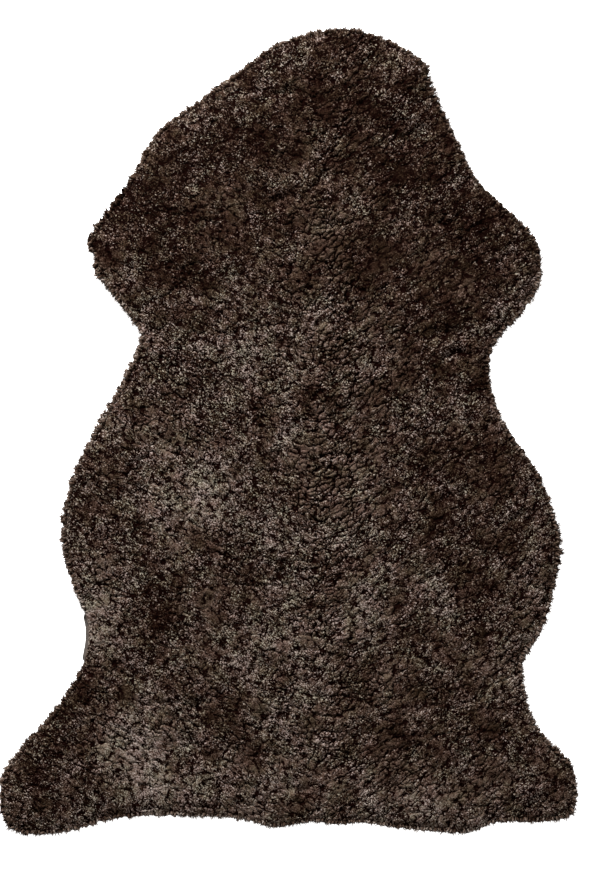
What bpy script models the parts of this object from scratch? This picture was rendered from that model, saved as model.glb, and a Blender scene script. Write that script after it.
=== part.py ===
"""A sheepskin rug, laid flat with its wool side up.

It is one whole pelt: a rounded head end, two short forelegs, a waist, two spread
hind feet, and a dense fleece of tight curls that is clipped short. The thin hide is
the flat underside, and the wool overhangs its edge and ends in small pointed locks.

Metres, +Z up. The origin is on the floor below the middle of the pelt, +Y runs to
the head. The tables are in millimetres.
"""

import math
import random

import bmesh
import bpy
import numpy as np
from mathutils import Vector, noise
from mathutils.geometry import delaunay_2d_cdt

MM = 0.001

# Driving dimensions.
HIDE_THICKNESS = 2.0 * MM
EDGE_HEIGHT = 16.0 * MM      # top of the wool just inside the rim
BACK_HEIGHT = 19.5 * MM      # top of the wool along the back
RISE_REACH = 60.0 * MM       # how far in from the rim the wool gains most of that
LOCK_COUNT = 280             # locks round the rim
LOCK_TIP_SHARE = 0.34        # width of a lock's tip over that of its root
CLUMP_PITCH = 11.2 * MM      # spacing of the points that shape the clumps
CLUMP_HEIGHT = 2.4 * MM      # how far single clumps stand up or sink
CLUMP_JITTER = 0.4           # share of that by which neighbouring points differ
SWELL_HEIGHT = 1.5 * MM      # how far the broad swells of the fleece do
SWELL_LENGTH = 90.0 * MM
PARTING_POINT_GAP = 8.0 * MM
WOOL_COLOUR = (0.044, 0.028, 0.022, 1.0)

# The fleece's edge from above, clockwise from the crown of the head: x, y, and tuft,
# which is how far the locks stand out there.
OUTLINE = (
    # name, x, y, tuft
    ("crown", 63, 425, 4),
    ("brow", 88, 418, 4),
    ("right_forehead", 118, 406, 4),
    ("right_ear_top", 144, 385, 7),
    ("right_ear_root", 149, 364, 7),
    ("right_cheek", 160, 342, 5),
    ("right_neck", 183, 292, 3),
    ("right_neck_base", 197, 266, 3),
    ("right_shoulder", 235, 229, 4),
    ("right_shoulder_low", 255, 209, 5),
    ("right_foreleg_top", 264, 189, 5),
    ("right_foreleg_end", 264, 159, 4),
    ("right_foreleg_low", 243, 122, 4),
    ("right_foreleg_root", 220, 98, 5),
    ("right_armpit", 211, 75, 4),
    ("right_ribs", 212, 48, 3),
    ("right_ribs_low", 227, 7, 4),
    ("right_side", 262, -44, 5),
    ("right_side_low", 282, -95, 5),
    ("right_flank", 286, -116, 6),
    ("right_flank_low", 279, -165, 5),
    ("right_loin", 263, -216, 6),
    ("right_loin_low", 249, -234, 5),
    ("right_waist", 245, -250, 4),
    ("right_thigh", 256, -301, 3),
    ("right_thigh_low", 268, -319, 4),
    ("right_hock", 290, -342, 5),
    ("right_foot_top", 299, -357, 4),
    ("right_foot_end", 303, -382, 4),
    ("right_foot_low", 298, -401, 4),
    ("right_heel", 285, -408, 3),
    ("right_rump", 217, -412, 4),
    ("right_rump_low", 187, -422, 4),
    ("right_tail_side", 118, -418, 3),
    ("tail_bay", 72, -412, 3),
    ("tail_point", 48, -415, 4),
    ("tail_dip", 28, -411, 3),
    ("tail", -19, -416, 3),
    ("left_tail_side", -45, -409, 3),
    ("left_rump", -126, -404, 3),
    ("left_rump_low", -196, -410, 4),
    ("left_heel", -221, -419, 4),
    ("left_foot_low", -280, -424, 4),
    ("left_foot_corner", -300, -412, 4),
    ("left_foot_end", -306, -377, 5),
    ("left_foot_top", -302, -356, 5),
    ("left_hock", -287, -335, 6),
    ("left_thigh", -242, -283, 6),
    ("left_thigh_low", -224, -256, 3),
    ("left_waist_low", -216, -235, 1),
    ("left_waist", -213, -209, 1),
    ("left_waist_top", -220, -183, 2),
    ("left_loin", -237, -140, 7),
    ("left_flank", -242, -104, 7),
    ("left_side", -230, -46, 7),
    ("left_ribs", -203, 10, 8),
    ("left_ribs_top", -172, 65, 6),
    ("left_armpit", -158, 100, 4),
    ("left_foreleg_root", -168, 119, 4),
    ("left_foreleg_low", -184, 140, 4),
    ("left_foreleg_notch", -208, 170, 7),
    ("left_foreleg_fold", -207, 182, 6),
    ("left_foreleg_end", -214, 200, 5),
    ("left_foreleg_top", -206, 216, 7),
    ("left_shoulder", -170, 264, 6),
    ("left_neck", -147, 307, 5),
    ("left_cheek", -129, 326, 5),
    ("left_ear_root", -89, 353, 5),
    ("left_ear_top", -41, 389, 4),
    ("left_forehead", -26, 402, 5),
    ("left_brow", -5, 412, 4),
    ("poll", 36, 423, 4),
)

# The rim's section, from the floor up: how far inside the locks' roots, and height.
RIM_STATIONS = (
    # name, inset, height
    ("hide_bottom", 8.5, 0.0),
    ("hide_top", 8.5, 2.0),
    ("overhang", 2.6, 3.2),
    ("belly", 0.0, 8.2),
    ("shoulder", 3.6, 13.4),
    ("brow", 11.0, 16.0),
)
LOW_LOCK_ROW = 2     # locks grow between the stations overhang and belly,
HIGH_LOCK_ROW = 3    # and between belly and shoulder

# Partings: curved grooves where the clumps of wool fall apart.
PARTINGS = (
    # name, start x, start y, end x, end y, bow to the left, depth
    ("poll", -32, 352, 13, 353, 3, 3.5),
    ("nape", 50, 305, 74, 310, 2, 3.0),
    ("right_nape", 116, 299, 153, 316, 6, 4.5),
    ("right_collar", 149, 292, 174, 297, 3, 3.0),
    ("collar_left", -32, 246, 14, 247, -3, 4.0),
    ("collar_middle", 22, 255, 53, 269, 3, 4.5),
    ("collar_right", 53, 238, 76, 244, 2, 3.5),
    ("withers", 37, 214, 60, 221, 2, 3.5),
    ("withers_left", -22, 213, 5, 202, -2, 3.5),
    ("right_blade_upper", 130, 246, 145, 262, -2, 3.5),
    ("right_blade_lower", 147, 247, 163, 259, -2, 3.5),
    ("left_cheek", -137, 319, -113, 312, 2, 3.0),
    ("spine", -5, 173, 7, 158, 1, 3.0),
    ("left_back", -74, 51, -59, 42, 1, 3.0),
    ("left_ribs_upper", -139, -5, -110, -38, 2, 4.5),
    ("left_ribs_lower", -161, -33, -136, -53, 2, 3.5),
    ("right_armpit_upper", 137, 101, 200, 103, 3, 4.0),
    ("right_armpit_lower", 158, 74, 195, 79, 7, 4.5),
    ("right_flank_upper", 218, -60, 244, -70, 2, 3.5),
    ("right_flank_lower", 226, -94, 262, -95, 2, 3.5),
    ("left_rump_upper", -108, -283, -88, -300, 2, 3.5),
    ("left_rump_middle", -106, -321, -78, -350, -3, 4.5),
    ("left_rump_lower", -139, -317, -119, -344, 2, 3.5),
    ("tail", -14, -373, 24, -374, -3, 4.0),
    ("right_thigh", 221, -365, 252, -367, 2, 3.5),
)


def clear_scene():
    for item in list(bpy.data.objects):
        bpy.data.objects.remove(item, do_unlink=True)


def wool_material():
    material = bpy.data.materials.new("wool")
    material.use_nodes = True
    shader = material.node_tree.nodes["Principled BSDF"]
    shader.inputs["Base Color"].default_value = WOOL_COLOUR
    shader.inputs["Roughness"].default_value = 0.85
    shader.inputs["Metallic"].default_value = 0.0
    material.diffuse_color = WOOL_COLOUR
    return material


def smooth_curve(points, steps=10):
    """A closed curve through the points, rounded by their distances so that it
    doesn't overshoot where near and far points alternate."""
    count = len(points)
    curve = []
    for index in range(count):
        before, start, end, after = (points[(index + k) % count] for k in (-1, 0, 1, 2))
        knots = [0.0]
        for first, second in ((before, start), (start, end), (end, after)):
            knots.append(knots[-1] + math.sqrt(np.linalg.norm(second[:2] - first[:2])))
        for step in range(steps):
            at = knots[1] + (knots[2] - knots[1]) * step / steps
            curve.append(spline_point((before, start, end, after), knots, at))
    return np.array(curve)


def spline_point(points, knots, at):
    """One point of a Catmull-Rom span with the given knots."""
    level = list(points)
    for width in (1, 2):
        level = [
            mixed(level[k], level[k + 1], knots[k], knots[k + width], at)
            for k in range(len(level) - 1)
        ]
    return mixed(level[0], level[1], knots[1], knots[2], at)


def mixed(first, second, low, high, at):
    share = (at - low) / (high - low)
    return first * (1.0 - share) + second * share


def rim_columns(rng):
    """Points round the outline, one for each lock, as rows of x, y and tuft."""
    landmarks = np.array([row[1:] for row in OUTLINE], float) * MM
    curve = smooth_curve(landmarks)
    ring = np.vstack([curve, curve[:1]])
    run = np.append(0.0, np.cumsum(np.linalg.norm(np.diff(ring[:, :2], axis=0), axis=1)))
    places = [
        (column + rng.uniform(-0.16, 0.16)) * run[-1] / LOCK_COUNT % run[-1]
        for column in range(LOCK_COUNT)
    ]
    return np.column_stack([np.interp(sorted(places), run, ring[:, k]) for k in range(3)])


def inward_directions(ring):
    """Unit vectors that point into the pelt, evened out round tight corners."""
    along = np.roll(ring, -1, axis=0) - np.roll(ring, 1, axis=0)
    inward = np.column_stack([along[:, 1], -along[:, 0]])
    for _ in range(3):
        inward /= np.linalg.norm(inward, axis=1, keepdims=True)
        inward = np.roll(inward, 1, axis=0) + 2.0 * inward + np.roll(inward, -1, axis=0)
    return inward / np.linalg.norm(inward, axis=1, keepdims=True)


def swell(x, y):
    """The fleece's broad unevenness."""
    return SWELL_HEIGHT * noise.noise(Vector((x, y, 0.3)) / SWELL_LENGTH)


def clump(x, y):
    """The unevenness from clump to clump."""
    return CLUMP_HEIGHT * noise.noise(Vector((x, y, 0.9)) / (2.6 * CLUMP_PITCH))


def rim_ring(bm, roots, inward, inset, height):
    """One ring of the rim's section. The wool's stations heave with the clumps."""
    ring = []
    for (x, y), (across, up) in zip(roots, inward):
        place = (x + across * inset, y + up * inset)
        lift = 0.0
        if height > HIDE_THICKNESS:
            lift = (swell(*place) + clump(*place)) * height / EDGE_HEIGHT
        ring.append(bm.verts.new((*place, height + lift)))
    return ring


def bridge(bm, lower, upper):
    """Quads between two rings, one for each column."""
    count = len(lower)
    return [
        bm.faces.new(
            (lower[k], upper[k], upper[(k + 1) % count], lower[(k + 1) % count])
        )
        for k in range(count)
    ]


def parting_points():
    """Points down the middle of each parting, as rows of x, y and depth."""
    points = []
    for _, start_x, start_y, end_x, end_y, bow, depth in PARTINGS:
        start = np.array([start_x, start_y]) * MM
        run = np.array([end_x, end_y]) * MM - start
        length = np.linalg.norm(run)
        left = np.array([-run[1], run[0]]) / length
        steps = max(2, round(length / PARTING_POINT_GAP))
        for step in range(steps + 1):
            share = step / steps
            arch = 4.0 * share * (1.0 - share)
            place = start + run * share + left * bow * MM * arch
            points.append((*place, depth * MM * (0.35 + 0.65 * arch)))
    return np.array(points)


def inside(ring, points):
    """Which of the points lie within the closed ring."""
    found = np.zeros(len(points), bool)
    for (x0, y0), (x1, y1) in zip(ring, np.roll(ring, -1, axis=0)):
        spans = (points[:, 1] < y0) != (points[:, 1] < y1)
        if spans.any():
            crossing = x0 + (points[spans, 1] - y0) * (x1 - x0) / (y1 - y0)
            found[spans] ^= points[spans, 0] < crossing
    return found


def nearest(points, others):
    """Each point's distance to the closest of the others."""
    gaps = points[:, None, :] - others[None, :, :]
    return np.sqrt((gaps**2).sum(axis=2).min(axis=1))


def clump_points(rng, brow, grooves):
    """An uneven lattice inside the brow ring, clear of the ring and the partings."""
    low, high = brow.min(axis=0), brow.max(axis=0)
    row_gap = CLUMP_PITCH * math.sqrt(0.75)
    points = []
    for row in range(int((high[1] - low[1]) / row_gap) + 1):
        for column in range(int((high[0] - low[0]) / CLUMP_PITCH) + 1):
            x = low[0] + (column + 0.5 * (row % 2)) * CLUMP_PITCH
            y = low[1] + row * row_gap
            points.append(
                (
                    x + rng.uniform(-0.24, 0.24) * CLUMP_PITCH,
                    y + rng.uniform(-0.24, 0.24) * CLUMP_PITCH,
                )
            )
    points = np.array(points)
    points = points[inside(brow, points)]
    points = points[nearest(points, brow) > 0.62 * CLUMP_PITCH]
    return points[nearest(points, grooves[:, :2]) > 0.5 * CLUMP_PITCH]


def cover_top(bm, rng, brow, outline):
    """The lumpy top of the fleece, inside the brow ring."""
    edge = np.array([vert.co[:2] for vert in brow])
    grooves = parting_points()
    places = np.vstack([grooves[:, :2], clump_points(rng, edge, grooves)])
    depths = np.append(grooves[:, 2], np.zeros(len(places) - len(grooves)))
    rise = 1.0 - np.exp(-nearest(places, outline) / RISE_REACH)
    top = list(brow)
    for (x, y), depth, share in zip(places, depths, rise):
        height = EDGE_HEIGHT + (BACK_HEIGHT - EDGE_HEIGHT) * share
        lift = swell(x, y) + clump(x, y)
        lift += rng.uniform(-CLUMP_JITTER, CLUMP_JITTER) * CLUMP_HEIGHT
        top.append(bm.verts.new((x, y, height + lift - depth)))
    corners = [Vector(vert.co[:2]) for vert in top]
    border = list(range(len(brow)))
    edges = list(zip(border, border[1:] + border[:1]))
    found = delaunay_2d_cdt(corners, edges, [border], 1, 1e-7)
    source = [ids[0] for ids in found[3]]
    for face in found[2]:
        bm.faces.new([top[source[corner]] for corner in face])


def grow_lock(bm, rng, root, outward, reach):
    """Draws one face of the rim out into a four-sided lock that tapers and leans."""
    tip = bmesh.ops.extrude_discrete_faces(bm, faces=[root])["faces"][0]
    centre = tip.calc_center_median()
    lean = rng.uniform(-0.45, 0.45)
    way = Vector((outward.x - outward.y * lean, outward.y + outward.x * lean, 0.0))
    end = centre + way.normalized() * reach
    end.z = max(centre.z + rng.uniform(-0.22, 0.10) * reach, 2.6 * MM)
    for vert in tip.verts:
        vert.co = end + (vert.co - centre) * LOCK_TIP_SHARE


def grow_locks(bm, rng, rows, inward, tufts):
    """Locks in two staggered rows, so that each stands apart but for its root."""
    for column, tuft in enumerate(tufts):
        outward = -Vector((*inward[column], 0.0))
        root = rows[column % 2][column]
        reach = tuft * rng.uniform(0.75, 1.35) + 0.8 * MM
        grow_lock(bm, rng, root, outward, reach)


def centre(bm):
    """Moves the pelt so that the middle of its box from above is the origin."""
    places = np.array([vert.co[:] for vert in bm.verts])
    middle = 0.5 * (places.min(axis=0) + places.max(axis=0))
    bmesh.ops.translate(bm, verts=bm.verts, vec=(-middle[0], -middle[1], 0.0))


def build_pelt():
    rng = random.Random(41)
    bm = bmesh.new()
    columns = rim_columns(rng)
    outline, tufts = columns[:, :2], columns[:, 2]
    inward = inward_directions(outline)
    roots = outline + inward * (0.55 * tufts)[:, None]
    rings = [
        rim_ring(bm, roots, inward, inset * MM, height * MM)
        for _, inset, height in RIM_STATIONS
    ]
    bands = [bridge(bm, lower, upper) for lower, upper in zip(rings, rings[1:])]
    cover_top(bm, rng, rings[-1], outline)
    bm.faces.new(rings[0])
    rows = (bands[LOW_LOCK_ROW], bands[HIGH_LOCK_ROW])
    grow_locks(bm, rng, rows, inward, tufts)
    centre(bm)
    bmesh.ops.recalc_face_normals(bm, faces=bm.faces)
    mesh = bpy.data.meshes.new("sheepskin")
    bm.to_mesh(mesh)
    bm.free()
    return mesh


def add_sheepskin():
    mesh = build_pelt()
    mesh.materials.append(wool_material())
    mesh.shade_smooth()
    mesh.set_sharp_from_angle(angle=math.radians(50.0))
    pelt = bpy.data.objects.new("sheepskin", mesh)
    bpy.context.scene.collection.objects.link(pelt)


clear_scene()
add_sheepskin()
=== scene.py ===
"""The looks of the sheepskin rug: the hide, the fleece's crust with its parted curls
in five bands, and the tufts and stray wisps that stand out round its rim.

Metres, +Z up, +Y towards the head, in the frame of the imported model. The tables are
in millimetres.
"""

import functools
import math

import bpy
import numpy as np
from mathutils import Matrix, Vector
from mathutils.bvhtree import BVHTree
from mathutils.geometry import delaunay_2d_cdt


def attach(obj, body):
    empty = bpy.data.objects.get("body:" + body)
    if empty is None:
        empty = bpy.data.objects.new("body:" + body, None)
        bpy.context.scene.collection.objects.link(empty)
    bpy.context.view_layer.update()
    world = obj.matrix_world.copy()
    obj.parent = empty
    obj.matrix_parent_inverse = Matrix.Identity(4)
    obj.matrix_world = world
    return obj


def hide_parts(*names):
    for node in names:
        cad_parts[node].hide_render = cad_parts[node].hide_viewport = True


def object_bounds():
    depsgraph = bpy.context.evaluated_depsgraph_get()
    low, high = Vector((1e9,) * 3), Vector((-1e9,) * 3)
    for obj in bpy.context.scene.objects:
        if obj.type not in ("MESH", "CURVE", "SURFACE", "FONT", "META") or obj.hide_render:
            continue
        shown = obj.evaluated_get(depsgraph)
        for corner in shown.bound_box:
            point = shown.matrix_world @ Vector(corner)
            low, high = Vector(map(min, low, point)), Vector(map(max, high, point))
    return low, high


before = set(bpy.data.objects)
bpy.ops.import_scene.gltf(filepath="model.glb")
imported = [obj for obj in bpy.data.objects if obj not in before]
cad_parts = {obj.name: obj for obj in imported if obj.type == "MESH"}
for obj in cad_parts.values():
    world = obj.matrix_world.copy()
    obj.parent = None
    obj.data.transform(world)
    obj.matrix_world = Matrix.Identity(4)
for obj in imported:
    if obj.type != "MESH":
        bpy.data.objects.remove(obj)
CAD_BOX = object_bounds()

MM = 0.001

# The camera looks straight down. The photograph's middle lies beside the origin.
PICTURE_HEIGHT = 0.9141      # metres that the picture spans from top to bottom
PICTURE_MIDDLE = (0.0116, -0.0036)
CAMERA_HEIGHT = 3.2
FLEECE_LEVEL = 10.0 * MM     # where the picture has that height
SENSOR = 36.0

# The rim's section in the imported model, which the fleece's crust follows inside it.
HIDE_INSET = 8.5 * MM        # from the locks' roots in to the hide's edge
RIM_COLUMNS = 1800
RIM_STATIONS = (
    # inset, height, share of the locks' bulge, how light the wool is left under painted shade
    (9.5, 2.3, 0.0, 0.3),
    (5.0, 2.9, 0.5, 0.5),
    (2.6, 4.9, 0.9, 0.8),
    (2.0, 7.4, 1.0, 1.0),
)
# Painted shade: the wool's underside is darkened in colour, as if in shadow.
SOLE_SHADE_LEVEL = 0.3             # how light the wool's underside is
LIP_INSET = 2.9 * MM         # where the crust's top starts
LIP_SHARE = 0.95
CRUST_SINK = 1.6 * MM        # how far the crust lies inside the solid, on average
CRUST_PITCH = 1.06 * MM
SOLE_PITCH = 9.0 * MM
LATTICE_JITTER = 0.2         # share of a lattice's pitch by which its points stray
BAND_NAMES = ("rump", "loin", "back", "shoulders", "head")
NOISE_TABLE = 64             # columns and rows of soft_noise's random values
NOISE_TURNS = (0.2, 1.3)     # by what angles its grids are turned
TINY = 1e-12                 # keeps a division from having nothing to divide by


def mesh_arrays(obj):
    """The places of an object's vertices, and its triangles."""
    mesh = obj.data
    mesh.calc_loop_triangles()
    places = np.empty(len(mesh.vertices) * 3)
    mesh.vertices.foreach_get("co", places)
    corners = np.empty(len(mesh.loop_triangles) * 3, np.int32)
    mesh.loop_triangles.foreach_get("vertices", corners)
    return places.reshape(-1, 3), corners.reshape(-1, 3)


def linked(name, data):
    """A new object in the scene."""
    obj = bpy.data.objects.new(name, data)
    bpy.context.scene.collection.objects.link(obj)
    return obj


def unit(vectors):
    return vectors / np.maximum(np.linalg.norm(vectors, axis=-1, keepdims=True), TINY)


def smoothstep(low, high, value):
    share = np.clip((value - low) / (high - low), 0.0, 1.0)
    return share * share * (3.0 - 2.0 * share)


def soft_noise(x, y, seed):
    """Smooth random values from -1 to 1 over the plane, about one swing a unit. Each
    seed's grid lies at an angle of its own."""
    rng = np.random.default_rng(seed)
    table = rng.uniform(-1.0, 1.0, (NOISE_TABLE, NOISE_TABLE))
    turn = rng.uniform(*NOISE_TURNS)
    x, y = x * math.cos(turn) - y * math.sin(turn), x * math.sin(turn) + y * math.cos(turn)
    column, row = np.floor(x).astype(int), np.floor(y).astype(int)
    u, v = x - column, y - row
    u, v = u * u * (3.0 - 2.0 * u), v * v * (3.0 - 2.0 * v)

    def corner(right, up):
        return table[(column + right) % NOISE_TABLE, (row + up) % NOISE_TABLE]

    low = corner(0, 0) * (1.0 - u) + corner(1, 0) * u
    high = corner(0, 1) * (1.0 - u) + corner(1, 1) * u
    return low * (1.0 - v) + high * v


def swings_at(x, y, layers):
    """Layers of soft noise over the plan, added up."""
    return sum(
        gain * soft_noise(x / (length * MM), y / (length * MM), seed)
        for length, gain, seed in layers
    )


def patches_at(x, y, patches):
    """The gains of soft patches of the plan, added up. A radius is one number, or two
    for an oval along x and y."""
    total = 0.0
    for _, at_x, at_y, radius, gain in patches:
        wide, long = radius if isinstance(radius, tuple) else (radius, radius)
        gap = np.hypot((x / MM - at_x) / wide, (y / MM - at_y) / long)
        total = total + gain * np.exp(-gap * gap)
    return total


# ------------ the wool's pattern


LACUNARITY = 2.17            # not 2, so that a noise's layers never line up
# How the plan is turned for a flat noise: about where, and by what angles at least
# and at most, so that no noise's grid lies along the plan's sides.
TURN_CENTRE = (1.7, 2.3, 0.0)
TURN_LEAST = 0.35
TURN_RANGE = 0.7

# The wool's rows leave the spine upwards, and curls are longer along them.
SPINE_PLACE = 27.0 * MM
SPINE_WIDTH = 18.0 * MM
ROW_SLOPE = 0.55
ROW_STRETCH = 1.22
# What bends the cracks: two noises, in swings a metre.
BROAD_BEND = 75.0
FINE_BEND = 210.0
PATTERN_LEVELS = (
    # name, pitch, pull of the broad noise, pull of the fine noise
    ("clump", 16.0, 14.0, 4.0),
    ("pebble", 7.4, 9.0, 4.4),
    ("crumb", 4.6, 6.0, 3.2),
    ("nub", 3.0, 4.0, 2.0),
)
HOLLOW_SIZE = 19.0 * MM
HOLLOW_LEVELS = (0.50, 0.38)  # a noise's values outside a hollow and at its bottom


class Graph:
    """Short ways to add and join nodes in a shader or geometry tree."""

    def __init__(self, tree):
        self.tree = tree

    def add(self, kind, **values):
        """A node. Each value goes to the input of that name, or else to the setting."""
        made = self.tree.nodes.new(kind)
        for key, value in values.items():
            if key in made.inputs:
                self.put(made.inputs[key], value)
            else:
                setattr(made, key, value)
        return made

    def put(self, socket, value):
        if isinstance(value, bpy.types.NodeSocket):
            self.tree.links.new(value, socket)
        else:
            socket.default_value = value

    def listed(self, kind, operation, values):
        """A node whose inputs are the values in their order."""
        made = self.add(kind, operation=operation)
        for socket, value in zip(made.inputs, values):
            self.put(socket, value)
        return made.outputs[0]

    def math(self, operation, *values):
        return self.listed("ShaderNodeMath", operation, values)

    def vector(self, operation, *values):
        return self.listed("ShaderNodeVectorMath", operation, values)

    def total(self, *values):
        return functools.reduce(lambda one, other: self.math("ADD", one, other), values)

    def product(self, *values):
        return functools.reduce(lambda one, other: self.math("MULTIPLY", one, other), values)

    def scaled(self, value, by, offset=0.0):
        return self.math("MULTIPLY_ADD", value, by, offset)

    def ranged(self, value, at_none, at_full):
        """A value from 0 to 1 spread between two numbers."""
        return self.math("MULTIPLY_ADD", value, at_full - at_none, at_none)

    def rise(self, value, high, low=0.0):
        """A smooth step from 0 at low to 1 at high."""
        ends = {"Value": value, "From Min": low, "From Max": high}
        made = self.add("ShaderNodeMapRange", interpolation_type="SMOOTHSTEP", **ends)
        return made.outputs["Result"]

    def blend(self, share, first, second):
        """The first value where the share is 0, the second where it is 1."""
        more = self.math("MULTIPLY", share, self.math("SUBTRACT", second, first))
        return self.math("ADD", first, more)

    def noise(self, vector, scale, detail=2.0, roughness=0.5, output="Fac", flat=False):
        made = self.add(
            "ShaderNodeTexNoise",
            noise_dimensions="2D" if flat else "3D",
            Vector=self.turned(vector, scale) if flat else vector,
            Scale=scale,
            Detail=detail,
            Roughness=roughness,
            Lacunarity=LACUNARITY,
        )
        return made.outputs[output]

    def turned(self, vector, by):
        """The plan turned by an angle that goes with a noise's scale."""
        angle = TURN_LEAST + by % TURN_RANGE
        turn = {"rotation_type": "Z_AXIS", "Center": TURN_CENTRE, "Angle": angle}
        return self.add("ShaderNodeVectorRotate", Vector=vector, **turn).outputs[0]

    def voronoi(self, vector, scale, feature, output):
        kind = {"voronoi_dimensions": "2D", "feature": feature}
        made = self.add("ShaderNodeTexVoronoi", **kind, Vector=vector, Scale=scale)
        return made.outputs[output]

    def grain(self, vector, scale):
        """A number from 0 to 1 for each cell."""
        colour = self.voronoi(vector, scale, "F1", "Color")
        return self.add("ShaderNodeSeparateXYZ", Vector=colour).outputs[0]


class Shader(Graph):
    """A material with what it needs to be described."""

    def __init__(self, name):
        self.material = bpy.data.materials.new(name)
        self.material.use_nodes = True
        super().__init__(self.material.node_tree)
        self.shader = self.tree.nodes["Principled BSDF"]

    def ramp(self, value, stops):
        made = self.add("ShaderNodeValToRGB", Fac=value)
        points = made.color_ramp.elements
        while len(points) < len(stops):
            points.new(0.5)
        for point, (place, colour) in zip(points, stops):
            point.position = place
            point.color = (*colour, 1.0)
        return made.outputs[0]

    def multiplied(self, first, second):
        """Two colours multiplied. A mix node lists its colours after other sockets."""
        made = self.add("ShaderNodeMix", data_type="RGBA", blend_type="MULTIPLY")
        for socket, value in zip((0, 6, 7), (1.0, first, second)):
            self.put(made.inputs[socket], value)
        return made.outputs[2]

    def bump(self, height, strength, distance):
        sizes = {"Strength": strength, "Distance": distance}
        return self.add("ShaderNodeBump", Height=height, **sizes).outputs["Normal"]

    def place(self):
        return self.add("ShaderNodeTexCoord").outputs["Object"]

    def finished(self, values):
        """The material, with these values and nodes on its shader."""
        for name, value in values.items():
            self.put(self.shader.inputs[name], value)
        return self.material

    def attribute(self, name, output="Fac"):
        return self.add("ShaderNodeAttribute", attribute_name=name).outputs[output]


def combed(graph, plan):
    """The plan with the wool's rows laid level, and drawn in along them."""
    x, y, _ = graph.add("ShaderNodeSeparateXYZ", Vector=plan).outputs
    across = graph.math("SUBTRACT", x, SPINE_PLACE)
    out_way = graph.math("SQRT", graph.math("MULTIPLY_ADD", across, across, SPINE_WIDTH**2))
    level = graph.math("MULTIPLY_ADD", out_way, -ROW_SLOPE, y)
    across, level = graph.scaled(across, 1.0 / ROW_STRETCH), graph.scaled(level, ROW_STRETCH)
    return graph.add("ShaderNodeCombineXYZ", X=across, Y=level).outputs[0]


def wool_pattern(graph, plan):
    """Where the wool parts: for its clumps, pebbles, crumbs and nubs, the distance to
    the nearest crack, in millimetres, and a number of the cell's own. "full" goes
    from 0 in the fleece's hollows to 1. The same nodes shape the mesh and colour it."""
    rows = combed(graph, plan)
    broad = graph.noise(plan, BROAD_BEND, 1.0, output="Color", flat=True)
    fine = graph.noise(plan, FINE_BEND, 1.0, output="Color", flat=True)
    middle = (0.5, 0.5, 0.5)
    broad = graph.vector("SUBTRACT", broad, middle)
    fine = graph.vector("SUBTRACT", fine, middle)

    def warped(by_broad, by_fine):
        shift = graph.vector("MULTIPLY", broad, (by_broad * MM,) * 3)
        more = graph.vector("MULTIPLY", fine, (by_fine * MM,) * 3)
        return graph.vector("ADD", rows, graph.vector("ADD", shift, more))

    result = {}
    for name, pitch, by_broad, by_fine in PATTERN_LEVELS:
        spot, scale = warped(by_broad, by_fine), 1.0 / (pitch * MM)
        gap = graph.voronoi(spot, scale, "DISTANCE_TO_EDGE", "Distance")
        result[name + "_gap"] = graph.scaled(gap, pitch)
        result[name] = graph.grain(spot, scale)
    swell = graph.noise(plan, 1.0 / HOLLOW_SIZE, 4.0, 0.55, flat=True)
    result["full"] = graph.rise(swell, *HOLLOW_LEVELS)
    return result


def pattern_at(plan):
    """The wool's pattern at places of the plan, read from geometry nodes."""
    mesh = bpy.data.meshes.new("probe")
    mesh.vertices.add(len(plan))
    places = np.column_stack([plan, np.zeros(len(plan))]).astype(np.float32)
    mesh.vertices.foreach_set("co", places.ravel())
    probe = linked("probe", mesh)
    tree = bpy.data.node_groups.new("probe", "GeometryNodeTree")
    for way in ("INPUT", "OUTPUT"):
        tree.interface.new_socket("Geometry", in_out=way, socket_type="NodeSocketGeometry")
    graph = Graph(tree)
    geometry = graph.add("NodeGroupInput").outputs[0]
    values = wool_pattern(graph, graph.add("GeometryNodeInputPosition").outputs[0])
    for name, value in values.items():
        kept = {"Geometry": geometry, "Name": name, "Value": value}
        geometry = graph.add("GeometryNodeStoreNamedAttribute", **kept).outputs[0]
    graph.put(graph.add("NodeGroupOutput").inputs[0], geometry)
    probe.modifiers.new("pattern", "NODES").node_group = tree
    found = probe.evaluated_get(bpy.context.evaluated_depsgraph_get()).data
    result = {}
    for name in values:
        column = np.empty(len(plan), np.float32)
        found.attributes[name].data.foreach_get("value", column)
        result[name] = column.astype(float)
    bpy.data.objects.remove(probe)
    bpy.data.meshes.remove(mesh)
    bpy.data.node_groups.remove(tree)
    return result


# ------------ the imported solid


WELD = 0.01 * MM             # vertices nearer than this are one
RELIEF_STEP = 2.0 * MM
RELIEF_MARGIN = 4            # steps of the relief's grid beyond the solid's box
RIM_HEIGHT = 6.0 * MM        # the relief's height beside the solid
RAY_START = 30.0 * MM        # how far out a ray towards the locks starts
LOCK_HEIGHTS = (3.5, 5.0, 6.5, 8.0, 9.5, 11.0, 12.5)


def hide_edge(places, corners):
    """The hide's edge on the floor, in order, counterclockwise from above."""
    _, first, index = np.unique(
        np.round(places / WELD), axis=0, return_index=True, return_inverse=True
    )
    places, corners = places[first], index.reshape(-1)[corners]
    floor = corners[(places[corners][:, :, 2] < WELD).all(axis=1)]
    steps = np.concatenate([floor[:, [0, 1]], floor[:, [1, 2]], floor[:, [2, 0]]])
    steps = {tuple(step) for step in steps.tolist()}
    after = {start: end for start, end in steps if (end, start) not in steps}
    ring = [min(after)]
    while after[ring[-1]] != ring[0]:
        ring.append(after[ring[-1]])
    ring = places[ring][:, :2]
    return ring if ring_area(ring) > 0 else ring[::-1]


def ring_area(ring):
    """The area in a closed ring, negative where it runs clockwise."""
    after = np.roll(ring, -1, axis=0)
    return 0.5 * float((ring[:, 0] * after[:, 1] - ring[:, 1] * after[:, 0]).sum())


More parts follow.
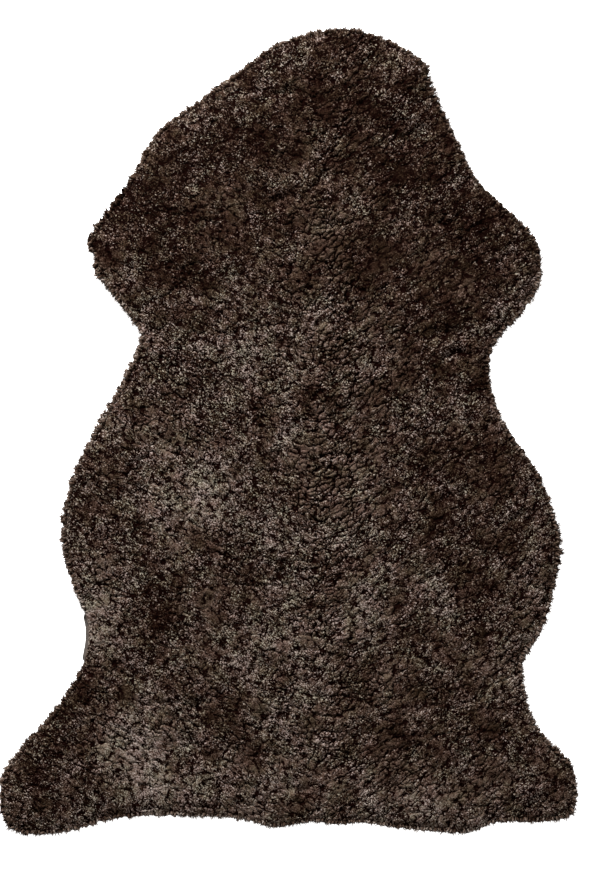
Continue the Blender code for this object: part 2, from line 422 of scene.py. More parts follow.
def resampled(ring, count):
    closed = np.vstack([ring, ring[:1]])
    run = np.append(0.0, np.cumsum(np.linalg.norm(np.diff(closed, axis=0), axis=1)))
    at = np.linspace(0.0, run[-1], count, endpoint=False)
    return np.column_stack([np.interp(at, run, closed[:, k]) for k in range(2)])


def evened(values, passes):
    for _ in range(passes):
        values = (np.roll(values, 1, axis=0) + 2.0 * values + np.roll(values, -1, axis=0)) / 4.0
    return values


def outward_directions(ring, passes):
    along = np.roll(ring, -1, axis=0) - np.roll(ring, 1, axis=0)
    return unit(evened(unit(np.column_stack([along[:, 1], -along[:, 0]])), passes))


class Relief:
    """The height of the solid's top on a grid, read between its points."""

    def __init__(self, tree, low, high, step):
        self.low, self.step = np.array(low) - RELIEF_MARGIN * step, step
        shape = np.ceil((np.array(high) - self.low) / step).astype(int) + RELIEF_MARGIN + 1
        self.height = np.full(shape, RIM_HEIGHT)
        for i in range(shape[0]):
            for j in range(shape[1]):
                x, y = self.low + step * np.array([i, j])
                hit = tree.ray_cast(Vector((x, y, 1.0)), Vector((0, 0, -1)))[0]
                if hit is not None:
                    self.height[i, j] = hit.z

    def at(self, x, y):
        u = (x - self.low[0]) / self.step
        v = (y - self.low[1]) / self.step
        i = np.clip(np.floor(u).astype(int), 0, self.height.shape[0] - 2)
        j = np.clip(np.floor(v).astype(int), 0, self.height.shape[1] - 2)
        u, v = u - i, v - j
        near = self.height[i, j] * (1 - u) + self.height[i + 1, j] * u
        far = self.height[i, j + 1] * (1 - u) + self.height[i + 1, j + 1] * u
        return near * (1 - v) + far * v


def lock_reach(tree, roots, outward):
    """How far the solid's locks stand out from their roots, column by column."""
    reach = []
    for (x, y), (across, up) in zip(roots, outward):
        furthest = 0.0
        for height in LOCK_HEIGHTS:
            start = Vector((x + across * RAY_START, y + up * RAY_START, height * MM))
            hit = tree.ray_cast(start, Vector((-across, -up, 0.0)))
            if hit[0] is not None:
                furthest = max(furthest, RAY_START - hit[3])
        reach.append(furthest)
    return np.array(reach)


# Stretches of the rim whose tufts stand further out, or less far, than its locks.
STRAY_TUFTS = (
    # name, x, y, radius, gain
    ("left_brow", -72, 364, 26, 3.2),
    ("right_ear", 143, 388, 10, 3.8),
    ("right_knee", 261, 144, 15, 2.2),
    ("right_ribs", 238, -9, 20, 2.2),
    ("right_waist", 253, -230, 10, 2.4),
    ("right_toe", 297, -347, 12, 2.6),
    ("right_heel", 297, -403, 10, 2.6),
    ("right_tail", 253, -410, 30, 2.2),
    ("right_tail_lobe", 187, -421, 10, 2.2),
    ("tail_lobe", -15, -416, 16, 2.0),
    ("left_tail", -93, -404, 50, 1.8),
    ("left_heel", -293, -416, 8, 2.2),
    ("left_toe", -304, -366, 10, 1.6),
    ("left_hip", -225, -172, 13, 2.2),
    ("left_knee_top", -211, 202, 9, 3.6),
    ("left_knee_notch", -203, 184, 5, -3.0),
    ("left_knee_low", -204, 165, 7, 3.4),
    ("left_forearm", -180, 134, 6, 3.4),
)

# Stretches of the rim where the wool thins out and the hide's edge shows.
BARE_STRETCHES = (
    # name, x, y, half length
    ("left_waist", -208, -217, 36),
)
BARE_INSET = 0.4 * MM        # how far the wool's rim steps back there
BARE_REACH = 2.6 * MM        # how far the hide comes out past the locks' roots
BARE_FADE = (1.0, 0.6)       # from where to where along its half length it sets in
BARE_CUT = 0.9               # share by which the rim's curls are shorter there
# How far the rim of the wool's body follows the locks: a share of them, and a length.
BULGE_SHARE = 0.70
BULGE_LEAST = 1.4 * MM


def bareness(places):
    """From 0 where the rim is woolly to 1 where the hide shows past the wool."""
    total = np.zeros(len(places))
    for _, at_x, at_y, half in BARE_STRETCHES:
        gap = np.hypot(places[:, 0] - at_x * MM, places[:, 1] - at_y * MM) / (half * MM)
        total += smoothstep(*BARE_FADE, gap)
    return total


cad_places, cad_corners = mesh_arrays(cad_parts["sheepskin"])
cad_tree = BVHTree.FromPolygons(cad_places.tolist(), cad_corners.tolist())
edge = evened(resampled(hide_edge(cad_places, cad_corners), RIM_COLUMNS), passes=6)
outward = outward_directions(edge, passes=12)
roots = edge + outward * HIDE_INSET
bare = bareness(roots)
reach = lock_reach(cad_tree, roots, outward) + MM * patches_at(*roots.T, STRAY_TUFTS)
reach = np.maximum(reach, 0.0) * (1.0 - bare)
bulge = BULGE_SHARE * evened(reach, passes=1) + BULGE_LEAST - BARE_INSET * bare
relief = Relief(cad_tree, CAD_BOX[0][:2], CAD_BOX[1][:2], RELIEF_STEP)


# ------------ what the wool is like where


# The fine partings: how long a curve's swings are and how far apart the curves lie,
# the same for the ripples in them, and how long their broken stretches are.
PARTING_SWINGS = (45.0 * MM, 21.0 * MM)
RIPPLE_SWINGS = (17.0 * MM, 11.0 * MM)
RIPPLE_GAIN = 0.45
PARTING_WIDTH = 0.16
BREAK_LENGTH = 35.0 * MM
BREAK_SOFTNESS = 0.45

# Layers of noise, each with the length of its swings, its gain and its seed.
FINE_SWINGS = ((24.0, 1.0, 27), (9.0, 0.7, 28))
FINE_LIMIT = 0.9
CRISP_MEAN = 1.02
CRISP_RANGE = (0.45, 1.8)
CRISP_SWINGS = ((18.0, 0.45, 41), (8.5, 0.30, 42))
BOLD_MEAN = 0.24
BOLD_MOST = 0.9
BOLD_SWINGS = ((32.0, 0.30, 25), (11.0, 0.18, 26))
TONE_MEAN = -0.04
TONE_SLOPE = -0.08           # per metre towards the head
TONE_SWINGS = ((55.0, 0.10, 71), (26.0, 0.12, 72), (13.0, 0.06, 73))

# Where the wool lies in bolder, more deeply parted pebbles.
BOLD_PATCHES = (
    # name, x, y, radius, gain
    ("spine", 38, 20, (42, 250), 0.55),
    ("left_flank", -130, 45, (70, 85), 0.45),
    ("tail_left", -190, -340, (60, 50), 0.15),
)

# Where the wool shows more or less of its cracks and grain.
CRISP_PATCHES = (
    # name, x, y, radius, gain
    ("left_back", -93, 50, 85, 0.36),
    ("spine", 22, -110, 75, 0.24),
    ("middle", 5, 70, 70, 0.14),
    ("left_hip", -195, -120, 50, 0.16),
    ("left_shoulder", -110, 215, 75, -0.30),
    ("head", 0, 320, 70, -0.08),
    ("right_shoulder", 145, 190, 80, -0.22),
    ("right_ribs", 140, 60, 55, -0.14),
    ("right_flank", 215, -60, 55, -0.12),
    ("left_rump", -100, -300, 60, -0.14),
    ("rump", -15, -385, 60, -0.26),
    ("right_leg", 200, -330, 80, -0.14),
    ("left_foot", -270, -385, 40, -0.16),
)

# Soft patches of paler and darker wool.
TONE_PATCHES = (
    # name, x, y, radius, gain
    ("crown", 54, 405, 38, -0.15),
    ("brow_right", 98, 372, 20, -0.08),
    ("left_brow", -116, 322, 22, 0.18),
    ("left_cheek", -152, 282, 18, 0.14),
    ("head_left", -60, 305, 52, -0.25),
    ("head_right", 94, 326, 68, -0.15),
    ("nape", 10, 243, 38, -0.08),
    ("neck_right", 137, 282, 30, -0.15),
    ("left_collar_top", -72, 243, 18, 0.13),
    ("left_shoulder", -145, 238, 85, -0.21),
    ("left_knee", -205, 200, 28, -0.12),
    ("left_forearm", -195, 160, 20, 0.16),
    ("left_collar", -55, 165, 48, -0.16),
    ("right_collar", 92, 243, 18, 0.12),
    ("right_shoulder", 216, 192, 68, -0.24),
    ("right_knee", 264, 159, 34, 0.30),
    ("right_elbow", 190, 155, 22, 0.14),
    ("right_forearm", 222, 112, 36, 0.14),
    ("right_chest", 137, 150, 26, -0.12),
    ("left_back", -30, 90, 70, 0.17),
    ("left_elbow", -156, 112, 34, 0.14),
    ("left_ribs_front", -96, 74, 42, -0.25),
    ("left_ribs", -95, -5, 34, -0.10),
    ("left_spine", -30, 33, 22, -0.12),
    ("left_flank", -102, -62, 64, 0.20),
    ("left_flank_rim", -156, -50, 22, -0.10),
    ("middle", 6, -15, 58, 0.13),
    ("spine_front", 92, 24, 34, 0.18),
    ("spine", 60, -78, 50, 0.16),
    ("left_spine_low", -50, -94, 28, -0.10),
    ("loin", 53, -212, 54, 0.25),
    ("right_side", 200, 40, 110, -0.10),
    ("right_flank", 184, -88, 48, -0.20),
    ("right_hip", 137, -219, 30, -0.14),
    ("right_loin", 200, -176, 26, -0.10),
    ("right_croup", 222, -258, 30, 0.08),
    ("left_loin", -196, -186, 46, 0.34),
    ("left_hip_top", -115, -135, 22, 0.16),
    ("left_hip", -154, -182, 36, -0.36),
    ("left_croup", -80, -219, 32, -0.14),
    ("rump", -45, -262, 60, 0.09),
    ("left_rump", -72, -302, 30, -0.20),
    ("tail_root", 96, -345, 24, -0.12),
    ("right_rump", 138, -310, 46, -0.22),
    ("left_thigh", -158, -324, 44, 0.38),
    ("left_shin", -225, -305, 52, -0.18),
    ("left_stifle", -114, -345, 16, -0.10),
    ("left_foot", -262, -372, 36, -0.14),
    ("left_toe", -290, -345, 18, 0.14),
    ("left_heel", -118, -388, 48, 0.18),
    ("tail", -34, -386, 36, 0.22),
    ("tail_middle", 12, -386, 16, -0.14),
    ("tail_right", 80, -392, 60, 0.14),
    ("right_heel", 205, -393, 66, 0.24),
    ("right_foot", 256, -350, 45, -0.18),
)


def parting_at(x, y):
    """From 0 on a fine parting of the wool to 1 away from it. The partings are long
    broken curves that run mostly across the body."""
    swing = soft_noise(x / PARTING_SWINGS[0] + 3.0, y / PARTING_SWINGS[1] + 9.0, 51)
    swing += RIPPLE_GAIN * soft_noise(x / RIPPLE_SWINGS[0], y / RIPPLE_SWINGS[1], 52)
    line = np.abs(swing) / PARTING_WIDTH
    stretch = soft_noise(x / BREAK_LENGTH + 7.0, y / BREAK_LENGTH, 53)
    whole = smoothstep(0.0, BREAK_SOFTNESS, stretch)
    return np.clip(np.maximum(line, 1.0 - whole), 0.0, 1.0)


def fineness(x, y):
    """From 0 where the small curls are crumbs to 1 where they are the finer nubs."""
    return smoothstep(-FINE_LIMIT, FINE_LIMIT, swings_at(x, y, FINE_SWINGS))


def crispness(x, y):
    """How strongly cracks and grain show."""
    swing = swings_at(x, y, CRISP_SWINGS) + patches_at(x, y, CRISP_PATCHES)
    return np.clip(CRISP_MEAN + swing, *CRISP_RANGE)


def boldness(x, y):
    """From 0 where the wool is a flat crumb to nearly 1 where it is bold pebbles."""
    swing = swings_at(x, y, BOLD_SWINGS) + patches_at(x, y, BOLD_PATCHES)
    return BOLD_MOST * smoothstep(0.0, 1.0, BOLD_MEAN + swing)


def patch_tone(x, y):
    """How much paler or darker than the rest the wool is."""
    swing = swings_at(x, y, TONE_SWINGS) + patches_at(x, y, TONE_PATCHES)
    return TONE_MEAN + TONE_SLOPE * y + swing


# ------------ the fleece's body


CRACK_SLOPES = {"clump": 1.8, "pebble": 1.5}         # how wide a crack's sides are
CRACK_LOSS = {"clump": 0.6, "pebble": 0.75}          # how much of it flat wool fills
DOME_REACH = {"clump": 6.3, "pebble": 2.2, "small": 1.2}
CRUST_FORMS = (
    # form, its height in flat and in bold wool, its mean, which sets it level
    ("clump_crack", 1.2, 2.0, 0.8),
    ("clump_dome", 0.8, 0.8, 0.6),
    ("pebble_crack", 0.2, 1.3, 0.8),
    ("pebble_dome", 0.15, 1.5, 0.7),
    ("small_dome", 0.25, 0.0, 0.6),
    ("full", 0.6, 0.6, 0.7),
    ("clump", 0.6, 0.6, 0.5),
    ("pebble", 0.3, 0.8, 0.5),
    ("small", 0.25, 0.0, 0.5),
    ("parting", 1.4, 1.4, 1.0),
)


def dome(gap, half):
    """A cell's rounded form, from 0 at its crack to 1 a half of its width away."""
    return 1.0 - (1.0 - np.clip(gap / half, 0.0, 1.0)) ** 2


def crust(x, y):
    """The crust's height over the plan."""
    bold, fine = boldness(x, y), fineness(x, y)
    forms = pattern_at(np.column_stack([x, y]))
    for key in ("", "_gap"):
        forms["small" + key] = fine * forms["nub" + key] + (1.0 - fine) * forms["crumb" + key]
    for name, slope in CRACK_SLOPES.items():
        filled_up = CRACK_LOSS[name] * (1.0 - bold)
        forms[name + "_crack"] = smoothstep(0.0, slope, forms[name + "_gap"] + filled_up)
    for name, half in DOME_REACH.items():
        forms[name + "_dome"] = dome(forms[name + "_gap"], half)
    forms["parting"] = parting_at(x, y)
    height = sum(
        (in_flat + (in_bold - in_flat) * bold) * (forms[name] - mean)
        for name, in_flat, in_bold, mean in CRUST_FORMS
    )
    return relief.at(x, y) - CRUST_SINK + height * MM


def inside(ring, points):
    """Which of the points lie within the closed ring."""
    order = np.argsort(points[:, 1])
    x, y = points[order].T
    found = np.zeros(len(points), bool)
    for (x0, y0), (x1, y1) in zip(ring, np.roll(ring, -1, axis=0)):
        first, last = np.searchsorted(y, sorted((y0, y1)))
        if first < last:
            crossing = x0 + (y[first:last] - y0) * (x1 - x0) / (y1 - y0)
            found[first:last] ^= x[first:last] < crossing
    answer = np.empty(len(points), bool)
    answer[order] = found
    return answer


def lattice(pitch, seed):
    """Unevenly spaced points over the rug's box."""
    rng = np.random.default_rng(seed)
    low, high = np.array(CAD_BOX[0][:2]), np.array(CAD_BOX[1][:2])
    row_gap = pitch * math.sqrt(0.75)
    rows = int((high[1] - low[1]) / row_gap) + 2
    columns = int((high[0] - low[0]) / pitch) + 2
    row, column = np.meshgrid(np.arange(rows), np.arange(columns), indexing="ij")
    x = low[0] + (column + 0.5 * (row % 2)) * pitch
    y = low[1] + row * row_gap
    points = np.column_stack([x.ravel(), y.ravel()])
    return points + rng.uniform(-LATTICE_JITTER, LATTICE_JITTER, points.shape) * pitch


def set_mesh(name, places, faces, smooth=True):
    """A mesh object from arrays. faces is one array, or several of unlike width."""
    groups = [faces] if isinstance(faces, np.ndarray) else list(faces)
    mesh = bpy.data.meshes.new(name)
    corners = np.concatenate([group.ravel() for group in groups]).astype(np.int32)
    sizes = np.concatenate([np.full(len(group), group.shape[1]) for group in groups])
    starts = np.append(0, np.cumsum(sizes)[:-1]).astype(np.int32)
    mesh.vertices.add(len(places))
    mesh.vertices.foreach_set("co", np.ascontiguousarray(places, np.float32).ravel())
    mesh.loops.add(len(corners))
    mesh.loops.foreach_set("vertex_index", corners)
    mesh.polygons.add(len(starts))
    mesh.polygons.foreach_set("loop_start", starts)
    mesh.update(calc_edges=True)
    if smooth:
        mesh.shade_smooth()
    return linked(name, mesh)


def write(mesh, name, values):
    """Gives each vertex a number, or a vector where the values are rows."""
    kind, field = ("FLOAT_VECTOR", "vector") if np.ndim(values) == 2 else ("FLOAT", "value")
    values = np.ascontiguousarray(values, np.float32).ravel()
    mesh.attributes.new(name, kind, "POINT").data.foreach_set(field, values)


def write_uv(mesh, name, values):
    values = np.ascontiguousarray(values, np.float32).ravel()
    mesh.uv_layers.new(name=name).data.foreach_set("uv", values)


def ring_quads(count, low, high):
    """Faces between two rings of a section that follow each other, facing outwards
    where the rings run counterclockwise and the second lies above the first."""
    here = np.arange(count)
    after = (here + 1) % count
    return np.column_stack([low + here, low + after, high + after, high + here])


INSIDE_ONLY = 1              # the filling keeps only triangles within the ring
FILL_TOLERANCE = 1e-7


def filled(ring, points, facing_up):
    """Triangles over a ring and the points inside it, numbered in that order."""
    count = len(ring)
    corners = [Vector(place) for place in np.vstack([ring, points])]
    border = list(range(count))
    edges = list(zip(border, border[1:] + border[:1]))
    found = delaunay_2d_cdt(corners, edges, [border], INSIDE_ONLY, FILL_TOLERANCE)
    source = np.array([ids[0] for ids in found[3]])
    faces = source[np.array(found[2])]
    return faces if facing_up else faces[:, ::-1]


# The line of a cut between two bands: its steps, and how far and how fast it waves.
CUT_STEPS = 420
CUT_WAVE = 4.0 * MM
CUT_TURNS = 23.0


def rim_index(height, rightwards):
    """The rim's column nearest to a height on the plan, on one flank."""
    flank = outward[:, 0] > 0 if rightwards else outward[:, 0] < 0
    gap = np.where(flank, np.abs(roots[:, 1] - height), np.inf)
    return int(np.argmin(gap))


def rim_run(first, last):
    """The rim's columns from one to another, counterclockwise."""
    count = (last - first) % len(roots) + 1
    return (first + np.arange(count)) % len(roots)


def rim_line(inset, share):
    """The rim at an inset, with a share of the bulge of its locks."""
    return roots + outward * (share * bulge - inset)[:, None]


def band_ring(low, high, inset, share):
    """One closed ring of a band's rim at an inset, counterclockwise from the right
    end of its lower cut. low and high are the columns of its cuts, or None."""
    line = rim_line(inset, share)

    def cut(first, last):
        return cut_places(line[first], line[last])

    if low is None:
        parts = [line[rim_run(high[1], high[0])], cut(*high)]
    elif high is None:
        parts = [line[rim_run(*low)], cut(low[1], low[0])]
    else:
        right_side, left_side = line[rim_run(low[0], high[0])], line[rim_run(high[1], low[1])]
        parts = [right_side, cut(*high), left_side, cut(low[1], low[0])]
    return np.vstack(parts)


def cut_places(start, end):
    """The places between two columns of the rim along the wavy line of a cut."""
    share = np.arange(1, CUT_STEPS)[:, None] / CUT_STEPS
    share = share if start[0] < end[0] else 1.0 - share
    left, right = (start, end) if start[0] < end[0] else (end, start)
    line = left + (right - left) * share
    line[:, 1] += CUT_WAVE * (np.sin(math.pi * share) * np.sin(CUT_TURNS * share))[:, 0]
    return line


def unrolled(lip, section):
    """Where the rings of a band's wall come if it is laid flat round the top, for
    each ring from the lowest up."""
    out_way = outward_directions(evened(lip, passes=12), passes=8)
    steps = np.linalg.norm(np.diff(section, axis=0), axis=2)
    far = np.cumsum(steps[::-1], axis=0)[::-1]
    return [lip + out_way * run[:, None] for run in far]


# What the wool's material reads from each vertex, worked out over the plan.
WOOL_KINDS = {
    "tone": patch_tone,
    "bold": boldness,
    "fine": fineness,
    "crisp": crispness,
}


def build_band(name, low, high, points):
    """One closed band of the fleece's crust: underside, rounded rim, cut walls, and
    the top with its clumps, pebbles and nubs."""
    lip = band_ring(low, high, LIP_INSET, LIP_SHARE)
    count = len(lip)
    rings = [
        np.column_stack([band_ring(low, high, inset * MM, share), np.full(count, height * MM)])
        for inset, height, share, _ in RIM_STATIONS
    ]
    inner = points[inside(lip, points)]
    plan = np.vstack([lip, inner])
    tops = np.column_stack([plan, crust(*plan.T)])
    places = np.vstack(rings + [tops])
    start = len(rings) * count
    walls = [ring_quads(count, k * count, (k + 1) * count) for k in range(len(rings))]
    top = filled(lip, inner, True) + start
    foot = rings[0][:, :2]
    sole_inner = lattice(SOLE_PITCH, seed=6)
    sole_inner = sole_inner[inside(foot, sole_inner)]
    sole = np.column_stack([sole_inner, np.full(len(sole_inner), rings[0][0, 2])])
    under = filled(foot, sole_inner, False)
    under[under >= count] += len(places) - count
    band = set_mesh("wool_" + name, np.vstack([places, sole]), [np.vstack(walls), top, under])
    flat_map = band_map(count, len(rings), plan, top - start, under, places, sole)
    write_uv(band.data, "OFBake", flat_map)
    plan = np.vstack(unrolled(lip, np.stack([*rings, tops[:count]])) + [plan, sole_inner])
    # Painted shade: the wool's colour is darkened on the rim's lower rings and on its
    # underside.
    shade = [np.full(count, light) for *_, light in RIM_STATIONS]
    shade = np.concatenate([*shade, np.ones(len(tops)), np.full(len(sole), SOLE_SHADE_LEVEL)])
    write(band.data, "shade", shade)
    write(band.data, "plan", np.column_stack([plan, np.zeros(len(plan))]))
    for kind, values in WOOL_KINDS.items():
        write(band.data, kind, values(*plan.T))
    return band


# Where a band's underside, wall and top lie on its map, from side to side and from
# the foot up.
MAP_SIDES = (0.01, 0.99)
SOLE_SHARE = (0.01, 0.13)
WALL_SHARE = (0.15, 0.21)
TOP_SHARE = (0.23, 0.99)


def band_map(count, rows, plan, top, under, places, sole):
    """A band's own map: its underside in a strip at the foot, then its wall unrolled,
    then its top. One place a corner, in the order of the faces."""
    across = np.linspace(*MAP_SIDES, count + 1)
    step = np.linspace(*WALL_SHARE, rows + 1)
    walls = []
    for row in range(rows):
        left, right = across[:-1], across[1:]
        low, high = np.full(count, step[row]), np.full(count, step[row + 1])
        corners = [(left, low), (right, low), (right, high), (left, high)]
        walls.append(np.stack([np.column_stack(corner) for corner in corners], axis=1))

    def spread(spots, share):
        wide = (spots - spots.min(axis=0)) / np.ptp(spots, axis=0)
        start, size = np.transpose([(low, high - low) for low, high in (MAP_SIDES, share)])
        return start + size * wide

    foot = np.vstack([places[:, :2], sole[:, :2]])
    used = np.unique(under)
    foot[used] = spread(foot[used], SOLE_SHARE)
    maps = [np.vstack(walls), spread(plan, TOP_SHARE)[top], foot[under]]
    return np.concatenate([one.reshape(-1, 2) for one in maps])


def build_crust():
    """The fleece's crust as bands that meet along wavy cuts, with as many points each."""
    points = lattice(CRUST_PITCH, seed=5)
    points = points[inside(rim_line(LIP_INSET, LIP_SHARE), points)]
    shares = np.arange(1, len(BAND_NAMES)) / len(BAND_NAMES)
    cuts = np.quantile(points[:, 1], shares)
    columns = [None, *((rim_index(cut, True), rim_index(cut, False)) for cut in cuts), None]
    return [
        build_band(name, low, high, points)
        for name, low, high in zip(BAND_NAMES, columns[:-1], columns[1:])
    ]


# ------------ the curls


SIDES = 3
CURL_STEPS = np.array([0.0, 0.40, 0.80])
CURL_WIDTHS = np.array([0.85, 1.12, 0.80])
CURL_EASE = 1.15             # how much its places gather towards the root
SWAY_TURN = 1.25 * math.pi   # how far its sway swings from root to tip
CAP_HEIGHT = 0.06            # share of a curl's map that its root's end takes
CELL_MARGIN = 0.08           # share of its cell on the map that a curl leaves free
CURL_CLEARANCE = 0.6 * MM    # lowest place of a curl above the floor


def curl_lines(curls):
    """The middle line of each curl, one place a step and one for the tip."""
    t = np.append(CURL_STEPS, 1.0)
    run = curls["length"][:, None] * t**CURL_EASE
    rise = curls["height"][:, None] * np.sin(curls["hook"][:, None] * t)
    sway = curls["sway"][:, None] * np.sin(SWAY_TURN * t)
    return (
        curls["root"][:, None, :]
        + run[:, :, None] * curls["lean"][:, None, :]
        + rise[:, :, None] * curls["up"][:, None, :]
        + sway[:, :, None] * curls["side"][:, None, :]
    )


def curl_places(curls):
    """The vertices of each curl: a ring a step, then the tip."""
    line = curl_lines(curls)
    along = unit(line[:, 1:] - line[:, :-1])
    tangent = unit(np.concatenate([along[:, :1], along[:, 1:] + along[:, :-1]], axis=1))
    side = curls["side"][:, None, :]
    first = unit(side - tangent * (side * tangent).sum(axis=2, keepdims=True))
    second = np.cross(tangent, first)
    angle = 2.0 * math.pi * np.arange(SIDES) / SIDES + curls["turn"][:, None]
    width = curls["width"][:, None] * CURL_WIDTHS
    ring = (
        np.cos(angle)[:, None, :, None] * first[:, :, None, :]
        + np.sin(angle)[:, None, :, None] * second[:, :, None, :]
    )
    rings = line[:, :-1, None, :] + width[:, :, None, None] * ring
    rings = rings.reshape(len(line), -1, 3)
    return np.concatenate([rings, line[:, -1:, :]], axis=1)


def curl_faces():
    """One curl's faces, with where each corner lies round and along it."""
    steps = len(CURL_STEPS)
    quads, quad_uv = [], []
    for step in range(steps - 1):
        for k in range(SIDES):
            right = (k + 1) % SIDES
            low, high = step * SIDES, (step + 1) * SIDES
            quads.append((low + k, low + right, high + right, high + k))
            v0, v1 = CURL_STEPS[step], CURL_STEPS[step + 1]
            quad_uv.append(((k, v0), (k + 1, v0), (k + 1, v1), (k, v1)))
    last = (steps - 1) * SIDES
    tips = [(last + k, last + (k + 1) % SIDES, steps * SIDES) for k in range(SIDES)]
    v0 = CURL_STEPS[-1]
    tip_uv = [((k, v0), (k + 1, v0), (k + 0.5, 1.0)) for k in range(SIDES)]
    tips.append(tuple(range(SIDES))[::-1])
    tip_uv.append(((SIDES, 0.0), (SIDES / 2, CAP_HEIGHT), (0, 0.0)))
    return np.array(quads), np.array(quad_uv, float), np.array(tips), np.array(tip_uv, float)


def build_curls(name, curls, chosen):
    """One mesh of the chosen curls, with what the wool's material reads from it: how
    far along its curl a point is, and the curl's own tone."""
    curls = {key: values[chosen] for key, values in curls.items()}
    count = len(chosen)
    places = curl_places(curls)
    per_curl = places.shape[1]
    quads, quad_uv, tips, tip_uv = curl_faces()
    base = (np.arange(count) * per_curl)[:, None, None]
    obj = set_mesh(
        name,
        places.reshape(-1, 3),
        [(quads[None] + base).reshape(-1, 4), (tips[None] + base).reshape(-1, 3)],
    )
    along = np.append(np.repeat(CURL_STEPS, SIDES), 1.0)
    write(obj.data, "along", np.tile(along, count))
    write(obj.data, "tone", np.repeat(curls["tone"], per_curl))
    across = math.ceil(math.sqrt(count))
    cell = np.stack([np.arange(count) % across, np.arange(count) // across], axis=1)
    maps, strands = [], []
    for uv in (quad_uv, tip_uv):
        share = np.array([1.0 / SIDES, 1.0]) * uv
        inset = CELL_MARGIN + (1.0 - 2.0 * CELL_MARGIN) * share
        maps.append(((cell[:, None, None, :] + inset[None]) / across).reshape(-1, 2))
        shift = np.repeat(curls["seed"], uv.shape[0] * uv.shape[1])
        strands.append(np.tile(share.reshape(-1, 2), (count, 1)) + shift[:, None])
    write_uv(obj.data, "OFBake", np.concatenate(maps))
    write_uv(obj.data, "Strands", np.concatenate(strands))
    return obj


RIM_ROWS = (
    # inset, height, tilt of the tufts above the floor
    (3.6, 3.6, -0.10),
    (2.4, 5.8, 0.02),
    (2.4, 8.0, 0.20),
    (3.4, 10.2, 0.45),
)
TUFT_COLUMNS = slice(None, None, 2)  # the rim's columns that a row's tufts grow from
TUFT_PITCH = 2.9 * MM        # by how much of the rim a tuft may stray
GATHER_WIDTH = 4.0 * MM      # how sharply the tufts of a lock lean towards its point
GATHER_SHARE = 0.5
HIGHER_ROWS_LOSE = 0.08      # share of length that each row of tufts loses
WISPS = 3000
KNOT = 5                     # wisps that stand together
WISP_INSET = 1.5 * MM
WISP_REACH = 0.9             # share of the locks' reach that the wisps have too
# How the rim's curls stray: angles in radians, a knot's width in columns of the rim.
TUFT = {
    "swing": 0.30,
    "lift": 0.12,
    "height": (-0.8, 0.8),
    "length": (0.65, 1.10),
    "width": (0.85, 1.35),
    "sway": 0.7,
}
WISP = {
    "knot": 1.6,
    "knot_swing": 0.45,
    "swing": 0.22,
    "lift": (0.15, 0.25),
    "height": (3.2, 10.5),
    "length": (0.2, 2.2),
    "width": (0.32, 0.62),
    "sway": 0.8,
}


def strands_of(rng, root, out, lift, length, kind):
    """What curls are made from: they start at their roots, point out and lift."""
    count = len(root)
    return {
        "root": root,
        "lean": np.column_stack([out * np.cos(lift)[:, None], np.sin(lift)]),
        "length": length,
        "width": rng.uniform(*kind["width"], count) * MM,
        "sway": rng.normal(0.0, kind["sway"], count) * MM,
    }


def rim_tufts(rng, row, inset, height, tilt):
    """Thick curls, row over row, that stand out round the rim with the solid's locks."""
    out_way, thin = outward[TUFT_COLUMNS], bare[TUFT_COLUMNS]
    crowd = evened(reach, passes=1)[TUFT_COLUMNS]
    count = len(crowd)
    gather = GATHER_SHARE * (np.roll(crowd, -2) - np.roll(crowd, 2)) / GATHER_WIDTH
    along = np.column_stack([-out_way[:, 1], out_way[:, 0]])
    shift = (rng.uniform(-0.5, 0.5, count) + 0.5 * (row % 2)) * TUFT_PITCH
    place = roots[TUFT_COLUMNS] - out_way * (inset * MM + BARE_INSET * thin)[:, None]
    place += along * shift[:, None]
    out = unit(out_way + along * (gather + rng.normal(0.0, TUFT["swing"], count))[:, None])
    lift = tilt + rng.normal(0.0, TUFT["lift"], count)
    tall = (height + rng.uniform(*TUFT["height"], count)) * MM
    length = crowd * rng.uniform(*TUFT["length"], count) * (1.0 - HIGHER_ROWS_LOSE * row)
    length = (inset * MM + length) * (1.0 - BARE_CUT * thin)
    return strands_of(rng, np.column_stack([place, tall]), out, lift, length, TUFT)


def rim_wisps(rng):
    """Thin stray ends, a few together, that reach past the tufts."""
    knots = rng.uniform(0.0, len(roots), WISPS // KNOT)
    spot = np.repeat(knots, KNOT) + rng.normal(0.0, WISP["knot"], KNOT * len(knots))
    column = (spot % len(roots)).astype(int)
    count = len(column)
    out_way, thin = outward[column], bare[column]
    along = np.column_stack([-out_way[:, 1], out_way[:, 0]])
    swing = np.repeat(rng.normal(0.0, WISP["knot_swing"], len(knots)), KNOT)
    swing += rng.normal(0.0, WISP["swing"], count)
    out = unit(out_way + along * swing[:, None])
    lift = rng.normal(*WISP["lift"], count)
    tall = rng.uniform(*WISP["height"], count) * MM
    place = roots[column] - out_way * (WISP_INSET + BARE_INSET * thin)[:, None]
    length = WISP_INSET + WISP_REACH * reach[column] + rng.uniform(*WISP["length"], count) * MM
    length *= 1.0 - BARE_CUT * thin
    return strands_of(rng, np.column_stack([place, tall]), out, lift, length, WISP)


def rim_curls():
    """All the curls of the rim, with how each one bends and turns, and its tone."""
    rng = np.random.default_rng(61)
    sets = [rim_tufts(rng, row, *values) for row, values in enumerate(RIM_ROWS)]
    sets.append(rim_wisps(rng))
    curls = {key: np.concatenate([one[key] for one in sets]) for key in sets[0]}
    count = len(curls["length"])
    curls["side"] = unit(np.cross(np.array([0.0, 0.0, 1.0]), curls["lean"]))
    curls["up"] = np.cross(curls["lean"], curls["side"])
    curls["height"] = rng.uniform(-0.2, 0.9, count) * MM
    curls["hook"] = rng.uniform(1.6, 3.4, count)
    curls["turn"] = rng.uniform(0.0, 2.0 * math.pi, count)
    curls["seed"] = rng.uniform(0.0, 40.0, count)
    # The rim's curls are made 0.08 paler on average: painted light on their shaded,
    # sideways-facing sides.
    curls["tone"] = patch_tone(*curls["root"][:, :2].T) + rng.normal(0.08, 0.15, count)
    return curls


